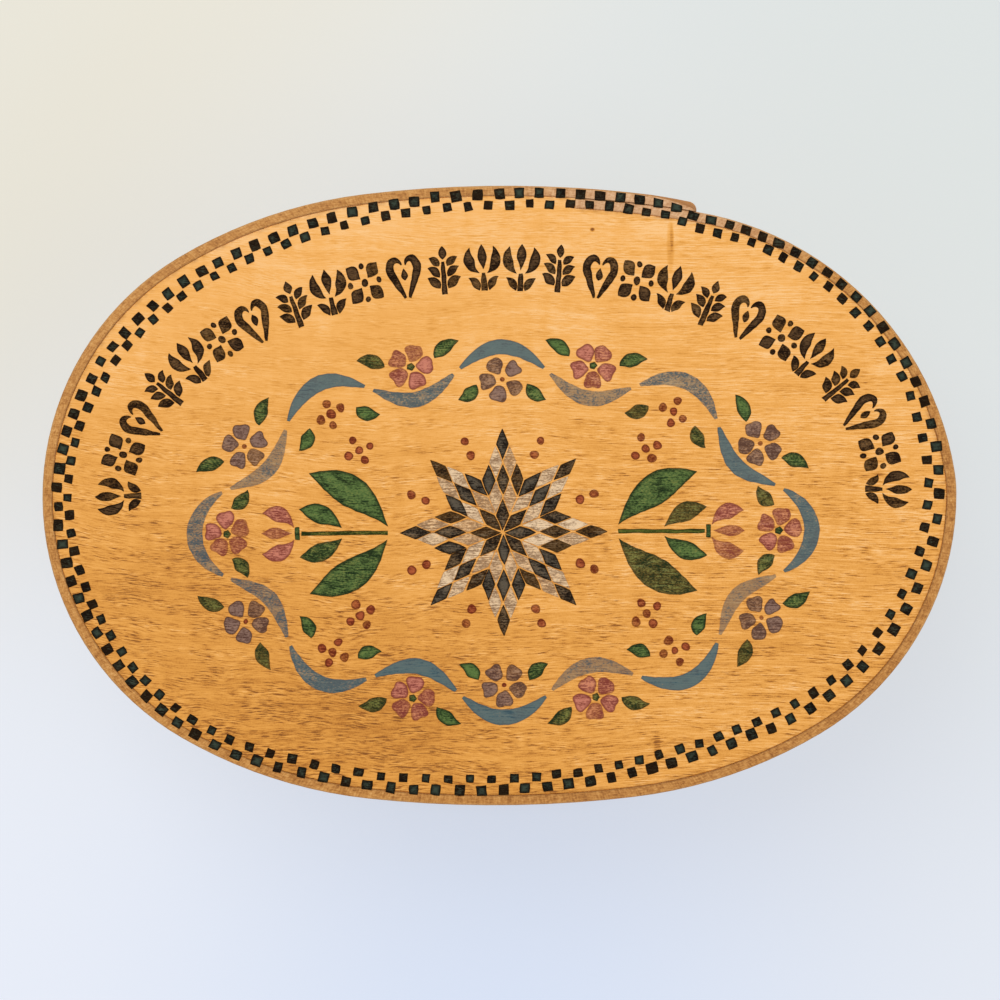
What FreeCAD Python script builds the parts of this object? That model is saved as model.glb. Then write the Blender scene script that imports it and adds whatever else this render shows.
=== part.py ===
"""Oval lidded box of bent wood, with its lid on.

Two strips of thin wood are bent into ovals. Each laps over its own start, where its end is cut into tapering
fingers held by clinched copper tacks. An oval board closes the bottom of the box and another the top of the lid,
both pegged through the bands. The lid slips over the box and its board rests on the rim.

The frame stands on the middle of the base: +X along the oval, +Y across it towards the laps, +Z up.
Bearings are in degrees clockwise from +Y, seen from above, which is the way the strips are wound.
"""
import FreeCAD, Part
import math
import os
from collections import namedtuple

# Driving dimensions, in millimetres
LID_LENGTH = 274.4
LID_WIDTH = 186.0
SIDE_RADIUS = 353.0        # outside of the lid band, along the flat of either side
SIDE_REACH = 40.0          # half of that flat, along X
SHOULDER_RADIUS = 142.5    # outside of the lid band, from the flats towards the ends
LAP_REACH = 60.5           # the same two beside the laps, where the doubled strips bent less
LAP_SHOULDER_RADIUS = 97.0
CLOSED_HEIGHT = 100.0
LID_DEPTH = 24.0
PLY = 3.0                  # thickness of both strips
GLUE_LINE = 0.1            # between the two plies of a lap
BOARD = 6.0                # thickness of the lid board and the bottom board
LID_CLEARANCE = 0.45       # between the lid band and the box band, all round
EDGE_BREAK = 0.4           # the strips' edges are eased
BOARD_CHAMFER = 0.3

# Laps: where the strip starts, where its fingers end and how long they are, all along X
LID_LAP = {"start": 23.7, "end": 60.3, "finger": 21.3}
BOX_LAP = {"start": -28.0, "end": 23.2, "finger": 34.0}
LID_FINGER_DROP = 3.0      # how far the flanks of the lid's finger have fallen where its tip's corners start
LID_FINGER_SLOPE = 1.4     # rise of those flanks towards the inside, for each millimetre
BOX_FINGERTIP = 9.0        # width of a finger at its tip
BOX_FINGER_LEAN = 0.7      # the flanks of the box's fingers lean back by this much
BOX_FINGERS = 3
TIP_CORNER = 2.6           # length of a tip's rounded corners, seen from the side
TIP_NOSE = 2.4             # rounding of a tip's outer edge, seen from above
CUT_PAST = 1.5             # how far a cutter reaches past either face of the ply

# Fasteners: tacks and pegs are square in section and taper inwards
TACK_HEAD_RADIUS = 1.9
TACK_RIM = 0.2
TACK_CROWN = 0.55
TACK_CROWN_RADIUS = 1.1
TACK_WIDTH = 1.4
TACK_POINT = 1.0
CLINCH_LENGTH = 2.4
CLINCH_HEIGHT = 0.5
CLINCH_POINT = 0.3
TIP_TACK_SETBACK = 6.0     # from the finger's tip
BOX_ROOT_TACKS = 5.5       # above and below the finger's middle line
LID_ROOT_TACKS = 4.6
PEG_WIDTH = 2.0
PEG_POINT = 1.4
PEG_LENGTH = 12.0
PEG_SINK = 0.02
PEGS = 12                  # round each board
HOLE_PAST = 1.0            # how far a hole's cutter reaches out of the wood

# Worked out from the above
STEP = PLY + GLUE_LINE
HALF_LENGTH = LID_LENGTH / 2
HALF_WIDTH = LID_WIDTH / 2
SIDE_CENTRE = SIDE_RADIUS - HALF_WIDTH
BOX_INSET = PLY + LID_CLEARANCE
BOX_HEIGHT = CLOSED_HEIGHT - BOARD
LID_RIM = CLOSED_HEIGHT - LID_DEPTH

Bend = namedtuple("Bend", "x y radius start end")
Band = namedtuple("Band", "turn over inset bottom height mouth lap")


def bearing_at(bend, x):
    """Bearing, about a bend's centre, of its point that has this X."""
    return math.degrees(math.asin((x - bend.x) / bend.radius))


def quarter(reach, shoulder_radius, step=0.0):
    """Bends of the outer face from +Y to +X: side, shoulder and end, each tangent to the next.

    The side ends at the reach, the end is what closes the oval at its half-length. Side and shoulder can run a
    step further in.
    """
    joint = math.asin(reach / SIDE_RADIUS)
    arm = SIDE_RADIUS - shoulder_radius
    x = arm * math.sin(joint)
    y = arm * math.cos(joint) - SIDE_CENTRE
    radius = shoulder_radius - step
    ahead = HALF_LENGTH - x
    end_radius = (radius**2 - ahead**2 - y**2) / (2 * (radius - ahead))
    end_x = HALF_LENGTH - end_radius
    side_joint = math.degrees(joint)
    end_joint = math.degrees(math.atan2(end_x - x, -y))
    return [
        Bend(0.0, -SIDE_CENTRE, SIDE_RADIUS - step, 0.0, side_joint),
        Bend(x, y, radius, side_joint, end_joint),
        Bend(end_x, 0.0, end_radius, end_joint, 90.0),
    ]


def mirrored(bend, across_x, across_y):
    """A bend of the first quarter, moved to another one."""
    x = -bend.x if across_y else bend.x
    y = -bend.y if across_x else bend.y
    start, end = bend.start, bend.end
    if across_x:
        start, end = 180 - end, 180 - start
    if across_y:
        start, end = 360 - end, 360 - start
    return Bend(x, y, bend.radius, start, end)


def winding(lap):
    """(turn, over): bends of a strip's outer face, clockwise, each tangent to the next.

    The turn goes once round the oval, from the strip's start to over that start; its first three bends run one step
    further in. Over the start the lap goes on to its tip.
    """
    tucked = quarter(LAP_REACH, LAP_SHOULDER_RADIUS, STEP)
    side, shoulder, end = quarter(SIDE_REACH, SHOULDER_RADIUS)
    start = bearing_at(side, lap["start"])
    turn = [tucked[0]._replace(start=start)] + tucked[1:]
    turn += [mirrored(bend, True, False) for bend in (end, shoulder)]
    turn.append(side._replace(y=-side.y, start=180 - side.end, end=180 + side.end))
    turn += [mirrored(bend, True, True) for bend in (shoulder, end)]
    turn += [mirrored(bend, False, True) for bend in (end, shoulder)]
    turn.append(side._replace(start=360 - side.end, end=360 + start))
    over = [side._replace(start=360 + start, end=360 + bearing_at(side, lap["end"]))]
    return turn, over


LID = Band(*winding(LID_LAP), 0.0, LID_RIM, LID_DEPTH, LID_RIM, LID_LAP)
BOX = Band(*winding(BOX_LAP), BOX_INSET, 0.0, BOX_HEIGHT, BOX_HEIGHT, BOX_LAP)


def point(bend, inset, bearing, z=0.0):
    """Point of a bend, moved towards its centre by the inset."""
    angle = math.radians(bearing)
    reach = bend.radius - inset
    return FreeCAD.Vector(bend.x + reach * math.sin(angle), bend.y + reach * math.cos(angle), z)


def arc(bend, inset, z=0.0):
    """A whole bend, as one arc."""
    bearings = (bend.start, (bend.start + bend.end) / 2, bend.end)
    return Part.Arc(*[point(bend, inset, b, z) for b in bearings]).toShape()


def prism(edges, height):
    """Solid between a flat closed outline and its copy raised by the height."""
    outline = Part.Wire(Part.__sortEdges__(edges))
    return Part.Face(outline).extrude(FreeCAD.Vector(0, 0, height))


def edges_along(shape, bends, inset, z):
    """The arcs along one face of a strip at one height."""
    found = []
    for edge in shape.Edges:
        middle = edge.valueAt((edge.FirstParameter + edge.LastParameter) / 2)
        flat = abs(edge.BoundBox.ZMin - z) < 1e-4 and abs(edge.BoundBox.ZMax - z) < 1e-4
        if flat and any(lies_on(bend, inset, middle) for bend in bends):
            found.append(edge)
    return found


def lies_on(bend, inset, spot):
    """Whether a point lies on a bend's own stretch."""
    distance = math.hypot(spot.x - bend.x, spot.y - bend.y)
    bearing = math.degrees(math.atan2(spot.x - bend.x, spot.y - bend.y))
    turns = [bearing + turn for turn in (0, 360)]
    inside = any(bend.start - 0.01 < b < bend.end + 0.01 for b in turns)
    return inside and abs(distance - (bend.radius - inset)) < 1e-3


def strip(band):
    """The bent strip before its fingers are cut: the end of its lap is nosed, and its outer edges and its open
    mouth are eased.
    """
    bends = band.turn + band.over
    first = bends[0]
    last = bends[-1]
    z = band.bottom
    outer = [arc(bend, band.inset, z) for bend in bends]
    inner = [arc(bend, band.inset + PLY, z) for bend in bends]
    ends = []
    for bend, bearing in ((first, first.start), (last, last.end)):
        outside = point(bend, band.inset, bearing, z)
        inside = point(bend, band.inset + PLY, bearing, z)
        ends.append(Part.LineSegment(outside, inside).toShape())
    body = prism(outer + inner + ends, band.height)
    tip = point(last, band.inset, last.end)
    nose = [e for e in body.Edges if upright_at(e, tip)]
    body = body.makeFillet(TIP_NOSE, nose)
    eased = []
    for level in (z, z + band.height):
        eased += edges_along(body, bends, band.inset, level)
    eased += edges_along(body, bends, band.inset + PLY, band.mouth)
    return body.makeChamfer(EDGE_BREAK, eased)


def upright_at(edge, spot):
    """Whether an edge is vertical and passes over a point."""
    box = edge.BoundBox
    return box.ZLength > 1 and box.XLength < 1e-4 and math.hypot(box.XMin - spot.x, box.YMin - spot.y) < 1e-3


def notch_outline(root, tip, half_opening, n, lift):
    """Pointed arch with its apex at the fingers' root, opening into rounded corners at their tips.

    It lies in the plane at distance n from the side's tangent, and its middle line is raised by lift. Each flank
    is one arc that ends parallel to the strip.
    """
    corner = tip - TIP_CORNER
    run = corner - root
    radius = (run**2 + half_opening**2) / (2 * half_opening)
    turn = math.asin(run / radius) / 2
    spread = half_opening + TIP_CORNER
    beyond = tip + 3
    diagonal = TIP_CORNER * math.sqrt(0.5)

    def at(u, v):
        return FreeCAD.Vector(u, n, lift + v)

    def flank(side):
        middle = at(corner - radius * math.sin(turn), side * (half_opening - radius * (1 - math.cos(turn))))
        flank_arc = Part.Arc(at(root, 0), middle, at(corner, side * half_opening))
        corner_middle = at(corner + diagonal, side * (spread - diagonal))
        corner_arc = Part.Arc(at(corner, side * half_opening), corner_middle, at(tip, side * spread))
        out = Part.LineSegment(at(tip, side * spread), at(beyond, side * spread))
        return [flank_arc.toShape(), corner_arc.toShape(), out.toShape()]

    closing = Part.LineSegment(at(beyond, spread), at(beyond, -spread)).toShape()
    lower = flank(-1)
    return Part.Wire(flank(1) + [closing] + lower[::-1])


def finger_frame(band):
    """(half of a finger's span along the strip, placement of its middle on the outer face).

    The placement's own +X points to the tip, its +Y out of the wood.
    """
    last = band.over[-1]
    tip_bearing = bearing_at(last, band.lap["end"])
    root_bearing = bearing_at(last, band.lap["end"] - band.lap["finger"])
    middle = (tip_bearing + root_bearing) / 2
    half_span = (last.radius - band.inset) * math.sin(math.radians(tip_bearing - middle))
    turn = FreeCAD.Rotation(FreeCAD.Vector(0, 0, 1), -middle)
    return half_span, FreeCAD.Placement(point(last, band.inset, middle), turn)


def outer_ply_only(cutter, band):
    """A cutter that spares the inner ply of the lap."""
    last = band.over[-1]
    foot = FreeCAD.Vector(last.x, last.y, band.bottom - band.height)
    inner_ply = Part.makeCylinder(last.radius - band.inset - PLY - GLUE_LINE / 2, 3 * band.height, foot)
    return cutter.cut(inner_ply)


def notch(band, apex, half_opening):
    """Cutter for one notch between fingers. It is wider outside than inside, so the flanks lean back."""
    half_span, placement = finger_frame(band)
    wires = []
    for n, lean in ((-PLY - CUT_PAST, 0.0), (CUT_PAST, BOX_FINGER_LEAN)):
        wires.append(notch_outline(-half_span - 2 * lean, half_span, half_opening + lean, n, apex))
    cutter = Part.makeLoft(wires, True, True)
    cutter.Placement = placement
    return outer_ply_only(cutter, band)


def flank(band, rim, up):
    """Cutter for a flank of a lone finger, above (up = 1) or below (up = -1).

    On the outer face it leaves the rim level, falls in one arc and turns round the tip's corner in another. It
    rises towards the inside, so that the rim narrows little by little.
    """
    half_span, placement = finger_frame(band)
    root = -half_span
    corner = half_span - TIP_CORNER
    run = corner - root
    radius = (run**2 + LID_FINGER_DROP**2) / (2 * LID_FINGER_DROP)
    turn = math.asin(run / radius)
    corner_radius = TIP_CORNER / (1 - math.sin(turn))
    below = LID_FINGER_DROP + corner_radius * math.cos(turn)
    centre_u = corner - corner_radius * math.sin(turn)
    halfway = (turn + math.pi / 2) / 2
    lowered = LID_FINGER_SLOPE * CUT_PAST
    depth = PLY + 2 * CUT_PAST
    beyond = half_span + 3
    clear = 2 * LID_FINGER_SLOPE * depth

    def at(u, fall):
        return FreeCAD.Vector(u, CUT_PAST, rim - up * (fall + lowered))

    fall_middle = radius * (1 - math.cos(turn / 2))
    corner_middle = at(centre_u + corner_radius * math.sin(halfway), below - corner_radius * math.cos(halfway))
    edges = [
        Part.Arc(at(root, 0), at(root + radius * math.sin(turn / 2), fall_middle), at(corner, LID_FINGER_DROP)),
        Part.Arc(at(corner, LID_FINGER_DROP), corner_middle, at(half_span, below)),
        Part.LineSegment(at(half_span, below), at(beyond, below)),
        Part.LineSegment(at(beyond, below), at(beyond, -clear)),
        Part.LineSegment(at(beyond, -clear), at(root, -clear)),
        Part.LineSegment(at(root, -clear), at(root, 0)),
    ]
    outline = Part.Face(Part.Wire([edge.toShape() for edge in edges]))
    cutter = outline.extrude(FreeCAD.Vector(0, -depth, up * LID_FINGER_SLOPE * depth))
    cutter.Placement = placement
    return outer_ply_only(cutter, band)


def outward(band, bend, bearing, z):
    """Placement on a strip's outer face, its own +X pointing out of the wood."""
    turn = FreeCAD.Rotation(FreeCAD.Vector(0, 0, 1), 90 - bearing)
    return FreeCAD.Placement(point(bend, band.inset, bearing, z), turn)


def placed(shape, placement):
    """Copy of a shape at a placement."""
    copy = shape.copy()
    copy.Placement = placement.multiply(copy.Placement)
    return copy


def spike(width, tip_width, length, outside=0.0, inside=0.0):
    """Square spike along X that tapers inwards from 0. It can be drawn out past either end, on the same flanks."""
    taper = (width - tip_width) / length
    thick = (width + taper * outside) / 2
    thin = (tip_width - taper * inside) / 2
    along_y = Part.makeWedge(-thick, -outside, -thick, -thin, -thin, thick, length + inside, thick, thin, thin)
    along_y.rotate(FreeCAD.Vector(0, 0, 0), FreeCAD.Vector(0, 0, 1), 90)
    return along_y


def tack_hole():
    """Hole for a tack, right through both plies."""
    return spike(TACK_WIDTH, TACK_POINT, 2 * PLY + GLUE_LINE, HOLE_PAST, HOLE_PAST)


def tack(clinched):
    """Copper tack along X: a low hammered head outside, its shank through both plies, its point clinched inside."""
    length = 2 * PLY + GLUE_LINE
    profile = [
        (0, 0),
        (0, TACK_HEAD_RADIUS),
        (TACK_RIM, TACK_HEAD_RADIUS),
        (TACK_CROWN, TACK_CROWN_RADIUS),
        (TACK_CROWN, 0),
        (0, 0),
    ]
    outline = Part.makePolygon([FreeCAD.Vector(x, r, 0) for x, r in profile])
    head = Part.Face(outline).revolve(FreeCAD.Vector(0, 0, 0), FreeCAD.Vector(1, 0, 0), 360)
    body = head.fuse(spike(TACK_WIDTH, TACK_POINT, length))
    if clinched:
        body = body.fuse(clinch(length))
    return body.removeSplitter()


def clinch(depth):
    """The point of a tack, bent over along the inner wall and tapering to its end."""
    half = TACK_POINT / 2
    point_half = CLINCH_POINT / 2
    low = -depth - CLINCH_HEIGHT
    point_low = -depth - CLINCH_POINT
    return Part.makeWedge(low, -half, -half, -point_half, point_low, -depth, CLINCH_LENGTH, half, point_half, -depth)


def peg():
    """Wooden peg along X, driven inwards and cut off flush."""
    body = spike(PEG_WIDTH, PEG_POINT, PEG_LENGTH)
    sunk = Part.makeBox(HOLE_PAST, PEG_WIDTH + 1, PEG_WIDTH + 1, FreeCAD.Vector(-PEG_SINK, -PEG_WIDTH, -PEG_WIDTH))
    return body.cut(sunk)


def peg_hole():
    """Hole for a peg, blind in the board."""
    return spike(PEG_WIDTH, PEG_POINT, PEG_LENGTH, HOLE_PAST)


def length(bend, inset):
    """Length of a bend, moved towards its centre by the inset."""
    return math.radians(bend.end - bend.start) * (bend.radius - inset)


def peg_spots(band, z):
    """Placements evenly spaced along the single ply, from the tip of the lap round to the start of the strip."""
    lapped = sum(length(bend, band.inset) for bend in band.over)
    pitch = (sum(length(bend, band.inset) for bend in band.turn) - lapped) / PEGS
    spots = []
    for number in range(PEGS):
        way = lapped + pitch * (number + 0.5)
        for bend in band.turn:
            run = length(bend, band.inset)
            if way <= run:
                bearing = bend.start + (bend.end - bend.start) * way / run
                spots.append(outward(band, bend, bearing, z))
                break
            way -= run
    return spots


def tack_spots(band, middles, root_spread):
    """Placements of a finger's tacks: one near each tip, two at each root."""
    last = band.over[-1]
    tip = bearing_at(last, band.lap["end"] - TIP_TACK_SETBACK)
    root = bearing_at(last, band.lap["end"] - band.lap["finger"] - TIP_TACK_SETBACK / 3)
    spots = []
    for z in middles:
        spots.append(outward(band, last, tip, z))
        for side in (-1, 1):
            spots.append(outward(band, last, root, z + side * root_spread))
    return spots


def band_solid(band, cutters, tacks, pegs):
    """A finished strip: lapped, fingered and bored for its tacks and pegs."""
    body = strip(band)
    for cutter in cutters:
        body = body.cut(cutter)
    for spot in tacks:
        body = body.cut(placed(tack_hole(), spot))
    for spot in pegs:
        body = body.cut(placed(peg_hole(), spot))
    return body


def board_solid(band, bottom, pegs):
    """Oval board that fills the inside of a strip, stepped where the strip starts, its edges broken."""
    first = band.turn[0]
    last = band.turn[-1]
    inset = band.inset + PLY
    edges = [arc(bend, inset, bottom) for bend in band.turn]
    outer = point(last, inset, last.end, bottom)
    inner = point(first, inset, first.start, bottom)
    edges.append(Part.LineSegment(outer, inner).toShape())
    body = prism(edges, BOARD)
    rims = [edge for edge in body.Edges if edge.BoundBox.ZLength < 1e-4]
    body = body.makeChamfer(BOARD_CHAMFER, rims)
    for spot in pegs:
        body = body.cut(placed(peg_hole(), spot))
    return body


def group(shape, spots):
    """One separate solid at each placement."""
    return Part.makeCompound([placed(shape, spot) for spot in spots])


def lid():
    """The lid's nodes."""
    middle = LID_RIM + LID_DEPTH / 2
    flanks = [flank(LID, CLOSED_HEIGHT, 1), flank(LID, LID_RIM, -1)]
    tacks = tack_spots(LID, [middle], LID_ROOT_TACKS)
    pegs = peg_spots(LID, CLOSED_HEIGHT - BOARD / 2)
    return {
        "lid_board": board_solid(LID, CLOSED_HEIGHT - BOARD, pegs),
        "lid_band": band_solid(LID, flanks, tacks, pegs),
        "lid_tacks": group(tack(clinched=False), tacks),
        "lid_pegs": group(peg(), pegs),
    }


def box():
    """The box's nodes. The fingers share the height that shows below the lid."""
    pitch = LID_RIM / BOX_FINGERS
    middles = [pitch * (number + 0.5) for number in range(BOX_FINGERS)]
    half_opening = (pitch - BOX_FINGERTIP) / 2
    notches = [notch(BOX, pitch * number, half_opening) for number in range(BOX_FINGERS)]
    notches.append(notch(BOX, BOX_HEIGHT, BOX_HEIGHT - middles[-1] - BOX_FINGERTIP / 2))
    tacks = tack_spots(BOX, middles, BOX_ROOT_TACKS)
    pegs = peg_spots(BOX, BOARD / 2)
    return {
        "bottom_board": board_solid(BOX, 0.0, pegs),
        "box_band": band_solid(BOX, notches, tacks, pegs),
        "box_tacks": group(tack(clinched=True), tacks),
        "box_pegs": group(peg(), pegs),
    }


def main():
    os.makedirs("parts", exist_ok=True)
    for node, shape in {**lid(), **box()}.items():
        shape.exportStep("parts/" + node + ".step")
        print(node, len(shape.Solids), "solids,", round(shape.Volume / 1000, 1), "cm3, valid:", shape.isValid())


main()
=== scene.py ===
"""Looks of the oval lidded box: stained wood, bent bands, copper tacks and a stencilled lid.

The board, the bands, the pegs and the tacks are the frame's own pieces and only get their finishes here.
The paint on the lid is added as thin films, one piece for each colour, that ride on the lid.
Lengths are in millimetres until a mesh is made, and the plan of the lid is seen from above: +X to the
right, +Y away.
"""
import math

import bpy
import numpy as np
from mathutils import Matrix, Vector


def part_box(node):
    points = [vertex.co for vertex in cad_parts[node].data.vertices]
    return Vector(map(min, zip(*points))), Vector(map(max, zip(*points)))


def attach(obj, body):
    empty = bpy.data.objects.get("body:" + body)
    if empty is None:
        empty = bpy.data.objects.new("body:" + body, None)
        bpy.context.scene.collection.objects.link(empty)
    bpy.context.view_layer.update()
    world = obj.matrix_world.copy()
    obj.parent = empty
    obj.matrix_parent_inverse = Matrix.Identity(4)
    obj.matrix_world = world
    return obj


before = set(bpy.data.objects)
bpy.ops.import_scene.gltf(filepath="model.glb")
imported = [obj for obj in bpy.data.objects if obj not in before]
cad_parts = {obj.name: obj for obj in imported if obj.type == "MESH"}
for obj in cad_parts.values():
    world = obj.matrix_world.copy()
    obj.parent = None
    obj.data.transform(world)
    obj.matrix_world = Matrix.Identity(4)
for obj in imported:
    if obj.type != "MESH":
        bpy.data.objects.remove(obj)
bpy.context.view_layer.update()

MM = 0.001
RANDOM = np.random.default_rng(11)

# The lid, in millimetres: the frame gives its size, and the bends repeat the construction's
LID_HIGH = np.array(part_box("lid_band")[1]) / MM
LID_TOP = LID_HIGH[2]
SIDE_RADIUS = 353.0
SIDE_REACH = 40.0
SHOULDER_RADIUS = 142.5
LAP_REACH = 60.5           # the quarter of the lap is flatter
LAP_SHOULDER_RADIUS = 97.0
PLY = 3.0
PLY_STEP = 3.1             # a ply and its glue line
LAP_START = 23.7           # the lid's lap and its finger, along X
FINGER_ROOT = 39.0
FINGER_TIP = 60.3
FLANK_REACH = 2.6          # how far the finger's sloping flank has eaten into the rim near its tip
TIP_EASE = 5.0             # before the finger's tip, the length over which the painted line moves in
CUTS_FROM = (3.5, 4.5)     # how far from a strip's upper and lower edges the stain and painted shade of its cuts set in

# Paint
FILM = 0.1                 # thickness, half of it sunk in the wood
COAT_STEP = 0.01           # a film over another one
POINT = 0.07               # half-width left at the ends of a stroke
RIM_KEEP = 0.45            # bare wood left along the lid's eased edge
SQUEEZE = 0.05             # share of an overhang that is left
WOBBLE = 0.13              # unsteadiness of the hand


def linear(red, green, blue):
    """Screen colour, 0 to 255, as the linear colour that a node takes."""
    screen = np.array([red, green, blue]) / 255
    curve = ((screen + 0.055) / 1.055) ** 2.4
    return (*np.where(screen <= 0.04045, screen / 12.92, curve), 1.0)


# ---------------------------------------------------------------- material nodes


class Value:
    """Output of a node. Arithmetic on it adds Math nodes to its material."""

    def __init__(self, graph, socket):
        self.graph = graph
        self.socket = socket

    def math(self, operation, *others):
        return self.graph.node("Math", {"operation": operation}, {0: self, **dict(enumerate(others, 1))})

    def __add__(self, other):
        return self.math("ADD", other)

    def __sub__(self, other):
        return self.math("SUBTRACT", other)

    def __mul__(self, other):
        return self.math("MULTIPLY", other)

    def __truediv__(self, other):
        return self.math("DIVIDE", other)

    def __pow__(self, other):
        return self.math("POWER", other)

    def __rsub__(self, first):
        return self.graph.node("Math", {"operation": "SUBTRACT"}, {0: first, 1: self})

    __radd__ = __add__
    __rmul__ = __mul__

    def size(self):
        return self.math("ABSOLUTE")

    def above(self, limit):
        return self.math("GREATER_THAN", limit)

    def at_least(self, other):
        return self.math("MAXIMUM", other)

    def rise(self, low, high):
        """0 below the first limit, 1 above the second, smooth between; it falls if the first is higher."""
        limits = {"Value": self, "From Min": min(low, high), "From Max": max(low, high)}
        ends = {"To Min": float(low > high), "To Max": float(low < high)}
        return self.graph.node("MapRange", {"interpolation_type": "SMOOTHSTEP"}, {**limits, **ends})


class Graph:
    """Node tree of one material, made from expressions on values."""

    def __init__(self, owner):
        owner.use_nodes = True
        self.owner = owner
        self.tree = owner.node_tree
        self.tree.nodes.clear()

    def node(self, kind, settings, sockets, output=0):
        """Adds a node and gives its output. Settings come first; a ramp's stops are (place, colour)."""
        made = self.tree.nodes.new("ShaderNode" + kind)
        for name, value in settings.items():
            if name == "stops":
                while len(made.color_ramp.elements) < len(value):
                    made.color_ramp.elements.new(0.5)
                for element, (place, colour) in zip(made.color_ramp.elements, value):
                    element.position = place
                    element.color = colour
            else:
                setattr(made, name, value)
        for name, value in sockets.items():
            if isinstance(value, Value):
                self.tree.links.new(value.socket, made.inputs[name])
            else:
                made.inputs[name].default_value = value
        return Value(self, made.outputs[output]) if made.outputs else None

    def place(self):
        """Place on the object, as three values in millimetres."""
        where = self.node("TexCoord", {}, {}, "Object")
        parts = [self.node("SeparateXYZ", {}, {0: where}, axis) for axis in "XYZ"]
        return [part / MM for part in parts]

    def noise(self, x, y, z, detail, roughness=0.5):
        """Noise about 0.5 of places already divided by the size of its blotches."""
        where = self.node("CombineXYZ", {}, {0: x, 1: y, 2: z})
        sockets = {"Vector": where, "Scale": 1.0, "Detail": detail, "Roughness": roughness}
        return self.node("TexNoise", {"noise_dimensions": "3D"}, sockets)

    def ramp(self, value, stops):
        return self.node("ValToRGB", {"stops": stops}, {"Fac": value})

    def mix(self, share, first, second):
        """Colour between two others, by the share of the second."""
        return self.node("Mix", {"data_type": "RGBA"}, {"Factor": share, 6: first, 7: second}, 2)

    def finish(self, colour, roughness, height, relief, constants):
        """Closes the material: colour, roughness and bumps vary, all else is constant. Relief is in mm."""
        normal = self.node("Bump", {}, {"Height": height, "Distance": relief * MM, "Strength": 1.0})
        sockets = {"Base Color": colour, "Roughness": roughness, "Normal": normal}
        shader = self.node("BsdfPrincipled", {}, {**sockets, **constants})
        self.node("OutputMaterial", {}, {"Surface": shader})
        return self.owner


def new_graph(name):
    """Empty graph of a new material."""
    return Graph(bpy.data.materials.new(name))


# ---------------------------------------------------------------- plan of the lid


class Oval:
    """Oval of tangent arcs, the same in every quarter: side, shoulder, end.

    The side's arc is centred on the Y axis and ends at a given X. The shoulder's goes on from there with its
    own radius, and the end's, centred on the X axis, is what closes the oval at its half-length.
    """

    def __init__(self, half_length, half_width, side_radius, side_reach, shoulder_radius, step=0.0):
        """The step moves side and shoulder that far in, and the half-length stays."""
        self.side_centre = side_radius - half_width
        self.side_joint = math.asin(side_reach / side_radius)
        arm = side_radius - shoulder_radius
        self.shoulder_x = arm * math.sin(self.side_joint)
        self.shoulder_y = self.side_centre - arm * math.cos(self.side_joint)
        self.side_radius = side_radius - step
        self.shoulder_radius = shoulder_radius - step
        ahead = half_length - self.shoulder_x
        spread = self.shoulder_radius**2 - ahead**2 - self.shoulder_y**2
        self.end_radius = spread / (2 * (self.shoulder_radius - ahead))
        self.end_centre = half_length - self.end_radius
        self.end_joint = math.atan2(self.end_centre - self.shoulder_x, self.shoulder_y)

    def quarter(self):
        """(centre X, centre Y, radius, first bearing, last bearing) of the three arcs from +Y to +X."""
        return [
            (0.0, -self.side_centre, self.side_radius, 0.0, self.side_joint),
            (self.shoulder_x, -self.shoulder_y, self.shoulder_radius, self.side_joint, self.end_joint),
            (self.end_centre, 0.0, self.end_radius, self.end_joint, math.pi / 2),
        ]

    def outline(self):
        """Closed path, clockwise from +Y: each arc is its centre plus its radius along the bearing."""
        rows = []
        for x, y, radius, start, end in self.quarter():
            bearing = np.linspace(start, end, 300)
            rows.append(np.stack([x + radius * np.sin(bearing), y + radius * np.cos(bearing)], 1))
        first = np.concatenate(rows)
        back = first[::-1]
        return np.concatenate([first, back * [1, -1], first * [-1, -1], back * [-1, 1]])

    def inset(self, points):
        """(distance inside the oval, inward direction), along the radius of the arc that faces a point."""
        folded = np.abs(points)
        sign = np.where(points < 0, -1.0, 1.0)
        centre = np.zeros_like(folded)
        radius = np.zeros(len(folded))
        for x, y, size, start, _ in self.quarter():
            here = (folded[:, 0] - x) * math.cos(start) >= (folded[:, 1] - y) * math.sin(start)
            centre[here] = (x, y)
            radius[here] = size
        arm = (centre - folded) * sign
        reach = np.linalg.norm(arm, axis=1)
        return radius - reach, arm / reach[:, None]


OVAL = Oval(LID_HIGH[0], LID_HIGH[1], SIDE_RADIUS, SIDE_REACH, SHOULDER_RADIUS)
# Under the lap and past its tip the strip's first ply lies one step further in
TUCKED = Oval(LID_HIGH[0], LID_HIGH[1], SIDE_RADIUS, LAP_REACH, LAP_SHOULDER_RADIUS, PLY_STEP)


def rim_inset(points):
    """(distance inside the rim's outer edge, inward direction); the finger's sloping flank is left out."""
    plain, inward = OVAL.inset(points)
    tucked, tucked_inward = TUCKED.inset(points)
    beside_lap = (points[:, 0] > LAP_START) & (points[:, 1] > 0)
    flank = (np.clip(points[:, 0] - FINGER_ROOT, 0, None) / (FINGER_TIP - FINGER_ROOT)) ** 2
    lapped = (PLY_STEP - FLANK_REACH * flank) * np.clip((FINGER_TIP - points[:, 0]) / TIP_EASE, 0, 1)
    inset = np.where(beside_lap, tucked + lapped, plain)
    return inset, np.where(beside_lap[:, None], tucked_inward, inward)


def keep_in(points, depth):
    """Points that lie nearer to the rim's edge than the depth, squeezed inwards to it."""
    inset, inward = rim_inset(points)
    short = np.clip(depth - inset, 0, None)
    return points + inward * (short * (1 - SQUEEZE))[:, None]


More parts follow.
